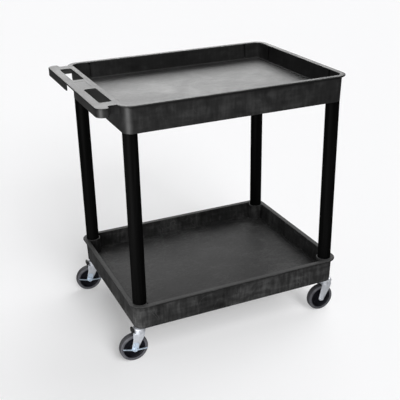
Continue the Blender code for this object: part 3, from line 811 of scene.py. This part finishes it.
# ---- Casters -----------------------------------------------------------------
TYRE_LOW, TYRE_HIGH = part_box("tyre_rear_left")
WHEEL_R = (TYRE_HIGH.z - TYRE_LOW.z) / 2
TRAIL = middle("caster_stem_rear_left").x - middle("tyre_rear_left").x
STEM_TOP_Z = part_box("caster_stem_rear_left")[1].z
AXLE_R = 5.0 * MM
AXLE_CLEARANCE = 0.3 * MM
PART_GAP = 0.3 * MM
FORK_INNER = 14.2 * MM
FORK_OUTER = 17.0 * MM
FORK_WALL = FORK_OUTER - FORK_INNER
FORK_LOW_X = 0.9 * MM
FORK_HIGH_X = 39.9 * MM
FORK_END_R = 11.0 * MM
FORK_BEND_R = 3.2 * MM
FORK_BEND_STEPS = 6
FORK_EDGE = 0.5 * MM
CROWN_LOW = 105.5 * MM
CROWN_HIGH = 109.0 * MM
CROWN_BACK_X = -22.0 * MM
CROWN_EDGE = 0.3 * MM
PIN_R = 5.7 * MM
PIN_HEAD_R = 8.5 * MM
PIN_HOLE_R = 6.0 * MM
RACE_R = 22.0 * MM
RACE_LOW = 114.8 * MM
RACE_HIGH = 125.0 * MM
RACE_SHOULDER_R = 5.0 * MM
FLANGE_R = 13.0 * MM
STEM_R = 5.5 * MM
STEM_GROOVE_R = 4.8 * MM
TURNED_STEPS = 40
CUP_STEPS = 56

# front edge of the fork's side as (x, z), and halves of the wheel's sections as
# (radius, y), all in millimetres from the axle
FORK_FRONT = ((31.0, 33.0), (34.5, 38.4), (37.0, 44.0))
HUB_SIDE = ((7.3, 11.4), (7.9, 12.2), (11.4, 12.2), (12.0, 11.6), (12.8, 8.4), (14.4, 7.2),
            (22.0, 6.8), (23.0, 7.4), (24.6, 7.4), (25.6, 6.8), (33.0, 7.2), (35.0, 8.4),
            (36.4, 10.6), (37.0, 11.0), (39.0, 11.0), (39.4, 10.6))
TYRE_SIDE = ((39.7, 11.2), (40.1, 11.8), (41.2, 12.1), (44.6, 12.5), (46.4, 12.4), (48.0, 11.9),
             (49.3, 10.8), (50.1, 9.2), (50.5, 7.2), (50.7, 4.6), (50.8, 2.0))
HUB_STEPS = 72
TYRE_STEPS = 96

HEX_ACROSS = 14.0 * MM
HEX_STEPS = 36
THREAD_PITCH = 1.0 * MM
THREAD_DEPTH = 0.5 * MM
THREAD_LENGTH = 8.5 * MM
BOLT_END_GAP = 9.0 * MM


def stem_shape():
    """King pin, wrench flange and grip stem."""
    flange_low, flange_high = RACE_HIGH + PART_GAP, BOTTOM_LOW.z - PART_GAP
    profile = [
        (5.0 * MM, CROWN_LOW - 4.0 * MM),
        (7.2 * MM, CROWN_LOW - 3.7 * MM),
        (PIN_HEAD_R, CROWN_LOW - 2.2 * MM),
        (PIN_HEAD_R, CROWN_LOW - 0.5 * MM),
        (PIN_R, CROWN_LOW - 0.5 * MM),
        (PIN_R, flange_low),
        (FLANGE_R - 0.6 * MM, flange_low),
        (FLANGE_R, flange_low + 0.6 * MM),
        (FLANGE_R, flange_high - 0.6 * MM),
        (FLANGE_R - 0.6 * MM, flange_high),
        (STEM_R, flange_high),
        (STEM_R, STEM_TOP_Z - 12 * MM),
        (STEM_GROOVE_R, STEM_TOP_Z - 11 * MM),
        (STEM_GROOVE_R, STEM_TOP_Z - 8 * MM),
        (STEM_R, STEM_TOP_Z - 7 * MM),
        (STEM_R, STEM_TOP_Z - 1.5 * MM),
        (4.2 * MM, STEM_TOP_Z),
    ]
    return turned(profile, TURNED_STEPS)


def race_shape():
    """Upper bearing cup: flat top, rolled shoulder and a curled skirt."""
    roof = RACE_LOW + 3.7 * MM
    profile = [
        (PIN_HOLE_R, roof),
        (PIN_HOLE_R, RACE_HIGH - 1.0 * MM),
        (PIN_HOLE_R + 1.5 * MM, RACE_HIGH),
        (RACE_R - 6.5 * MM, RACE_HIGH),
    ]
    profile += bend(RACE_R - RACE_SHOULDER_R, RACE_HIGH - RACE_SHOULDER_R, RACE_SHOULDER_R,
                    75, 0, 6)
    profile += [
        (RACE_R, RACE_LOW + 2.2 * MM),
        (RACE_R - 0.2 * MM, RACE_LOW + 0.5 * MM),
        (RACE_R - 0.7 * MM, RACE_LOW),
        (RACE_R - 1.4 * MM, RACE_LOW + 0.2 * MM),
        (RACE_R - 1.6 * MM, roof),
    ]
    return turned(profile, CUP_STEPS, closed=True)


def fork_outline():
    """Side plate of the fork, around the axle, counter-clockwise in X and Z."""
    shoulder = CROWN_HIGH - WHEEL_R
    outline = bend(0, 0, FORK_END_R, 180, 322, 14) + in_mm(FORK_FRONT)
    outline.append((FORK_HIGH_X - 0.3 * MM, shoulder - 5 * MM))
    outline += [(FORK_HIGH_X, shoulder - 3 * MM), (FORK_LOW_X, shoulder - 3 * MM)]
    return outline


def fork_bend(side):
    """Quarter tube along X between a side plate and the crown."""
    centre_y, centre_z = FORK_OUTER - FORK_BEND_R, CROWN_HIGH - FORK_BEND_R
    section = bend(centre_y, centre_z, FORK_BEND_R, 0, 90, FORK_BEND_STEPS)
    section += bend(centre_y, centre_z, FORK_BEND_R - FORK_WALL, 90, 0, FORK_BEND_STEPS)
    return loft([[Vector((x - TRAIL, side * y, z)) for y, z in section]
                 for x in (FORK_LOW_X, FORK_HIGH_X)])


def fork_shapes(braked):
    """Pressed fork about its swivel axis: plates, bends, crown and dish."""
    axle = Vector((-TRAIL, 0, WHEEL_R))
    shapes = []
    for low_y, high_y in ((-FORK_OUTER, -FORK_INNER), (FORK_INNER, FORK_OUTER)):
        side = plate(fork_outline(), low_y, high_y, FORK_EDGE,
                     holes=[round_hole(AXLE_R + AXLE_CLEARANCE)], upright=True)
        shapes.append(moved(side, axle))
    shapes += [fork_bend(side) for side in (-1, 1)]

    half = FORK_OUTER - FORK_BEND_R + 0.05 * MM
    low_x = CROWN_BACK_X if braked else FORK_LOW_X - TRAIL + 1 * MM
    high_x = FORK_HIGH_X - TRAIL
    crown = [(low_x, -half), (high_x, -half), (high_x, half), (low_x, half)]
    crown_under = CROWN_HIGH - FORK_WALL
    shapes.append(plate(crown, crown_under, CROWN_HIGH, CROWN_EDGE,
                        holes=[round_hole(PIN_HOLE_R)], steps=2))

    dish_r = RACE_R - 2 * MM
    cone_r = RACE_R - 5 * MM
    cone_top = RACE_LOW + 3 * MM
    dish = [
        (dish_r - 0.4 * MM, crown_under),
        (dish_r, crown_under + 0.5 * MM),
        (dish_r, CROWN_HIGH + 3.6 * MM),
        (dish_r - 0.8 * MM, CROWN_HIGH + 4.8 * MM),
        (cone_r, CROWN_HIGH + 5.4 * MM),
        (cone_r, cone_top),
        (PIN_HOLE_R, cone_top),
        (PIN_HOLE_R, crown_under),
    ]
    shapes.append(turned(dish, CUP_STEPS, closed=True))
    return shapes


def hub_shape():
    """Moulded wheel core: bearing boss, dished web, ring and rim."""
    return turned(both_sides(in_mm(HUB_SIDE)), HUB_STEPS, "Y", closed=True)


def tyre_shape():
    """Tyre with a raised side ring, round shoulders and a slightly crowned tread."""
    return turned(both_sides(in_mm(TYRE_SIDE)), TYRE_STEPS, "Y", closed=True)


def hexagon(across, height):
    """A hexagonal ring about Y, with as many points as the round rings beside it."""
    ring = []
    for i in range(HEX_STEPS):
        angle = 2 * math.pi * i / HEX_STEPS
        from_flat = (angle + math.pi / 6) % (math.pi / 3) - math.pi / 6
        radius = across / 2 / math.cos(from_flat)
        ring.append(Vector((radius * math.sin(angle), height, -radius * math.cos(angle))))
    return ring


def round_rings(rows):
    """Rings about Y from (radius, y) pairs, to stand beside hexagons."""
    return [circle(radius, y, HEX_STEPS, "Y") for radius, y in rows]


def bolt_shape(head_y):
    """Axle bolt: a chamfered head with a socket, and rings of thread at its end."""
    end_y = FORK_OUTER + BOLT_END_GAP
    rings = round_rings([(2.7 * MM, -head_y - 2.0 * MM), (3.0 * MM, -head_y - 4.8 * MM),
                         (3.3 * MM, -head_y - 5.0 * MM), (5.6 * MM, -head_y - 5.0 * MM),
                         (6.7 * MM, -head_y - 4.9 * MM)])
    rings += [hexagon(HEX_ACROSS, -head_y - 4.0 * MM), hexagon(HEX_ACROSS, -head_y)]
    rings += round_rings([(AXLE_R, -head_y)])
    thread_y = end_y - THREAD_LENGTH
    while thread_y < end_y - 1.2 * MM:
        rings += round_rings([(AXLE_R, thread_y),
                              (AXLE_R - THREAD_DEPTH, thread_y + THREAD_PITCH / 2)])
        thread_y += THREAD_PITCH
    rings += round_rings([(AXLE_R, end_y - 1 * MM), (AXLE_R - 0.9 * MM, end_y)])
    return loft(rings)


def nut_shape():
    """Lock nut: hexagon with a round collar."""
    near_y = FORK_OUTER + PART_GAP
    bore = AXLE_R + 0.25 * MM
    rings = round_rings([(bore, near_y)])
    rings += [hexagon(HEX_ACROSS - 0.6 * MM, near_y), hexagon(HEX_ACROSS, near_y + 0.4 * MM),
              hexagon(HEX_ACROSS, near_y + 4.0 * MM)]
    rings += round_rings([(6.6 * MM, near_y + 4.3 * MM), (6.4 * MM, near_y + 5.6 * MM),
                          (5.8 * MM, near_y + 6.0 * MM), (bore, near_y + 6.0 * MM)])
    return loft(rings, closed=True)


def sleeve_shape():
    """Bearing sleeve between the fork plates."""
    end_y = FORK_INNER - PART_GAP
    side = [(5.3 * MM, end_y), (6.6 * MM, end_y), (7.0 * MM, end_y - 0.4 * MM)]
    return turned(both_sides(side), TURNED_STEPS, "Y", closed=True)


# ---- Brakes ------------------------------------------------------------------
# outlines as (x, z), and a profile as (radius, y), in millimetres
BRACKET_SIDE = ((9.0, -6.5), (13.0, -1.5), (12.0, 5.0), (10.5, 14.0), (10.5, 21.0), (8.0, 24.0))
WING_OUTLINE = ((8.0, -3.2), (43.5, 1.6), (45.0, 2.2), (45.0, 3.0), (43.5, 3.6), (8.0, -1.0))
DIMPLE_PROFILE = ((3.4, -0.2), (3.0, -1.0), (1.8, -1.7), (0.4, -1.9))

BRACKET_FOOT_Z = -11.5 * MM
BRACKET_THICKNESS = 3.0 * MM
BRACKET_EDGE = 0.6 * MM
MARK_Z = 17.0 * MM
RIVET_HOLE_X = 5.5 * MM
RIVET_HOLE_R = 2.0 * MM
DIMPLE_X = -5.0 * MM
WING_WIDTH = 6.2 * MM
WING_EDGE = 0.5 * MM
LEVER_TILT = math.radians(10)

SHOE_X = (-3.5 * MM, 1.0 * MM)
SHOE_Y = (-12.4 * MM, 4.0 * MM)
SHOE_TOP_Z = 66.0 * MM
SHOE_TYRE_GAP = 2.2 * MM
SHOE_ARC_STEPS = 5
SHOE_EDGE = 0.5 * MM
GRIP_X = (-6.5 * MM, 1.3 * MM)
GRIP_Y = (-14.0 * MM, 5.0 * MM)
GRIP_Z = (63.0 * MM, 79.0 * MM)
GRIP_R = 2.0 * MM
GRIP_EDGE = 0.8 * MM
GRIP_RIBS = 4
GRIP_RIB_LOW = 65.3 * MM
GRIP_RIB_PITCH = 3.4 * MM
GRIP_RIB_WIDTH = 1.4 * MM
GRIP_RIB_EDGE = 0.3 * MM
GRIP_RIB_RISE = 0.5 * MM
LINK_X = (-2.5 * MM, 2.4 * MM)
LINK_Y = (-13.8 * MM, -12.8 * MM)
LINK_Z = (9.0 * MM, 62.7 * MM)
LINK_R = 1.5 * MM
LINK_EDGE = 0.2 * MM


def pedal_shapes():
    """See-saw brake lever: a bracket on the axle with a flat wing each way."""
    near_y = -FORK_OUTER - PART_GAP
    far_y = near_y - BRACKET_THICKNESS
    right = in_mm(BRACKET_SIDE)
    outline = [(0, BRACKET_FOOT_Z)] + right + [(-x, z) for x, z in reversed(right)]
    holes = [round_hole(AXLE_R + AXLE_CLEARANCE),
             round_hole(RIVET_HOLE_R, steps=16, centre=(RIVET_HOLE_X, MARK_Z))]
    shapes = [plate(outline, far_y, near_y, BRACKET_EDGE, holes=holes, upright=True)]
    dimple = turned(in_mm(DIMPLE_PROFILE), 24, "Y")
    shapes.append(moved(dimple, (DIMPLE_X, far_y, MARK_Z)))
    for side in (-1, 1):
        wing = [(side * x, z) for x, z in in_mm(WING_OUTLINE)][::side]
        shapes.append(plate(wing, near_y - PART_GAP - WING_WIDTH, near_y - PART_GAP, WING_EDGE,
                            upright=True))
    tilt = Matrix.Rotation(LEVER_TILT, 4, "Y")
    return [moved(shape, turn=tilt) for shape in shapes]


def shoe_shapes():
    """Brake block: a ribbed grip at race height on a foot that follows the tyre."""
    face_r = WHEEL_R + SHOE_TYRE_GAP
    low_x, high_x = SHOE_X
    outline = []
    for i in range(SHOE_ARC_STEPS + 1):
        x = low_x + (high_x - low_x) * i / SHOE_ARC_STEPS
        outline.append((x, math.sqrt(face_r ** 2 - x ** 2)))
    outline += [(high_x, SHOE_TOP_Z), (low_x, SHOE_TOP_Z)]
    shapes = [plate(outline, *SHOE_Y, SHOE_EDGE, upright=True)]
    grip = rounded_box(*GRIP_X, *GRIP_Z, GRIP_R)
    shapes.append(plate(grip, *GRIP_Y, GRIP_EDGE, upright=True))
    for i in range(GRIP_RIBS):
        low_z = GRIP_RIB_LOW + i * GRIP_RIB_PITCH
        high_z = low_z + GRIP_RIB_WIDTH
        end = ((GRIP_X[0] - GRIP_RIB_RISE, GRIP_Y[0] + 1 * MM),
               (GRIP_X[0] + GRIP_RIB_RISE, GRIP_Y[1] - 1 * MM))
        face = ((GRIP_X[0] + 1.5 * MM, GRIP_Y[0] - GRIP_RIB_RISE),
                (GRIP_X[1] - 1.3 * MM, GRIP_Y[0] + GRIP_RIB_RISE))
        for low, high in (end, face):
            shapes.append(box_bar((*low, low_z), (*high, high_z), GRIP_RIB_EDGE))
    return shapes


def link_shape():
    """Flat strip from the lever up to its block."""
    outline = rounded_box(*LINK_X, *LINK_Z, LINK_R)
    return plate(outline, *LINK_Y, LINK_EDGE, upright=True, steps=1)


def make_casters():
    for corner in CORNERS:
        braked = corner in BRAKED
        stem = middle("caster_stem_" + corner)
        swivel = (stem.x, stem.y, 0)
        axle = (stem.x - TRAIL, stem.y, WHEEL_R)
        caster, wheel = "caster_" + corner, "wheel_" + corner
        bolt_look = "zinc_blue" if braked else "zinc"
        under_head = PART_GAP + BRACKET_THICKNESS + PART_GAP if braked else PART_GAP
        bolt = bolt_shape(FORK_OUTER + under_head)
        rows = [
            ("stem_", stem_shape(), "zinc", "frame", "caster_stem_", swivel),
            ("race_cup_", race_shape(), "zinc", "frame", "swivel_race_", swivel),
            ("fork_pressing_", fork_shapes(braked), "zinc", caster, "fork_", swivel),
            ("bolt_", bolt, bolt_look, caster, "axle_bolt_", axle),
            ("lock_nut_", nut_shape(), "zinc", caster, "axle_nut_", axle),
            ("sleeve_", sleeve_shape(), "zinc", caster, "axle_sleeve_", axle),
            ("wheel_core_", hub_shape(), "hub", wheel, "wheel_hub_", axle),
            ("tyre_ring_", tyre_shape(), "tyre", wheel, "tyre_", axle),
        ]
        if braked:
            lever, block = "brake_lever_" + corner, "brake_block_" + corner
            rows += [
                ("pedal_", pedal_shapes(), "zinc_blue", lever, "brake_pedal_", axle),
                ("block_", shoe_shapes(), "shoe", block, "brake_shoe_", axle),
                ("block_link_", link_shape(), "zinc", block, "brake_link_", axle),
            ]
        for name, shapes, look, body, node, place in rows:
            piece(name + corner, shapes, look, body, [node + corner], place)


# ---- Stage, light and camera -------------------------------------------------
FLOOR_REACH = 60.0
FLOOR_COLOUR = (0.64, 0.64, 0.65, 1.0)
FLOOR_GLOW = 0.335
WORLD_GLOW = 0.12
WHITE = (1.0, 1.0, 1.0, 1.0)
CORNER_LAMP_PLACE = Vector((MID_X - 1.3, -1.1, 0.32))

CAMERA_PLACE = Vector((-1058.8 * MM, -2339.9 * MM, 1558.8 * MM)) + Vector((MID_X, 0, 0))
CAMERA_AZIMUTH = math.radians(-24.01)
CAMERA_ELEVATION = math.radians(23.90)
CAMERA_ROLL = math.radians(-1.10)
CAMERA_LENS = 67.09
CAMERA_SENSOR = 36.0


def make_stage():
    """A wide pale floor that glows a little and isn't seen in reflections."""
    shape = bmesh.new()
    reach = FLOOR_REACH
    corners = [(-reach, -reach), (reach, -reach), (reach, reach), (-reach, reach)]
    shape.faces.new([shape.verts.new((x, y, 0)) for x, y in corners])
    mesh = bpy.data.meshes.new("studio_floor")
    shape.to_mesh(mesh)
    shape.free()
    look = bpy.data.materials.new("studio_floor")
    look.use_nodes = True
    sockets = look.node_tree.nodes["Principled BSDF"].inputs
    sockets["Base Color"].default_value = FLOOR_COLOUR
    sockets["Emission Color"].default_value = WHITE
    sockets["Emission Strength"].default_value = FLOOR_GLOW
    sockets["Roughness"].default_value = 1.0
    sockets["Specular IOR Level"].default_value = 0.0
    mesh.materials.append(look)
    floor = bpy.data.objects.new("studio_floor", mesh)
    bpy.context.scene.collection.objects.link(floor)
    floor.visible_glossy = False
    return floor


def soft_sun(name, toward, elevation, spread, strength, matt=True, glossy=True):
    """A distant round softbox, seen from the trolley in a direction in degrees."""
    lamp = bpy.data.lights.new(name, "SUN")
    lamp.angle = math.radians(spread)
    lamp.energy = strength
    made = bpy.data.objects.new(name, lamp)
    a, e = math.radians(toward), math.radians(elevation)
    place = Vector((math.cos(a) * math.cos(e), math.sin(a) * math.cos(e), math.sin(e)))
    made.rotation_euler = place.to_track_quat("Z", "Y").to_euler()
    made.visible_diffuse = matt
    made.visible_glossy = glossy
    bpy.context.scene.collection.objects.link(made)
    return made


def near_lamp(name, place, size, power):
    """A square softbox close to the trolley, aimed at its middle."""
    lamp = bpy.data.lights.new(name, "AREA")
    lamp.size = size
    lamp.energy = power
    made = bpy.data.objects.new(name, lamp)
    made.location = place
    aim = Vector((MID_X, 0, place.z)) - place
    made.rotation_euler = aim.to_track_quat("-Z", "Y").to_euler()
    bpy.context.scene.collection.objects.link(made)
    return made


def link_floor(light, floor, state):
    """Keeps a light to the floor with INCLUDE, or off the floor with EXCLUDE."""
    group = bpy.data.collections.new(light.name + "_floor")
    group.objects.link(floor)
    light.light_linking.receiver_collection = group
    group.collection_objects[0].light_linking.link_state = state


def make_light(floor):
    """Soft light from the front and sides, sheen from behind and a dim world."""
    world = bpy.data.worlds.new("studio")
    bpy.context.scene.world = world
    world.use_nodes = True
    sockets = world.node_tree.nodes["Background"].inputs
    sockets["Color"].default_value = WHITE
    sockets["Strength"].default_value = WORLD_GLOW
    soft_sun("key", toward=-80, elevation=50, spread=36, strength=1.25)
    soft_sun("right", toward=30, elevation=50, spread=50, strength=1.2, glossy=False)
    soft_sun("low_sheen", toward=70, elevation=30, spread=34, strength=1.6, matt=False)
    soft_sun("high_sheen", toward=70, elevation=54, spread=40, strength=1.5, matt=False)
    left = soft_sun("left", toward=205, elevation=50, spread=50, strength=0.9)
    corner = near_lamp("front_corner", CORNER_LAMP_PLACE, size=0.8, power=22.0)
    under = soft_sun("under_fill", toward=-90, elevation=30, spread=24, strength=1.6)
    link_floor(left, floor, "EXCLUDE")
    link_floor(corner, floor, "EXCLUDE")
    link_floor(under, floor, "INCLUDE")


def make_camera():
    a, e = CAMERA_AZIMUTH, CAMERA_ELEVATION
    back = Vector((math.sin(a) * math.cos(e), -math.cos(a) * math.cos(e), math.sin(e)))
    level_right = Vector((math.cos(a), math.sin(a), 0))
    level_up = back.cross(level_right)
    c, s = math.cos(CAMERA_ROLL), math.sin(CAMERA_ROLL)
    right = level_right * c + level_up * s
    up = level_up * c - level_right * s
    lens = bpy.data.cameras.new("camera")
    lens.lens = CAMERA_LENS
    lens.sensor_width = CAMERA_SENSOR
    camera = bpy.data.objects.new("camera", lens)
    matrix = Matrix((right, up, back)).transposed().to_4x4()
    matrix.translation = CAMERA_PLACE
    camera.matrix_world = matrix
    bpy.context.scene.collection.objects.link(camera)
    bpy.context.scene.camera = camera


make_top_tub()
make_bottom_tub()
make_legs()
make_casters()
make_light(make_stage())
make_camera()
bpy.context.scene.view_settings.view_transform = "Standard"

bpy.context.view_layer.update()
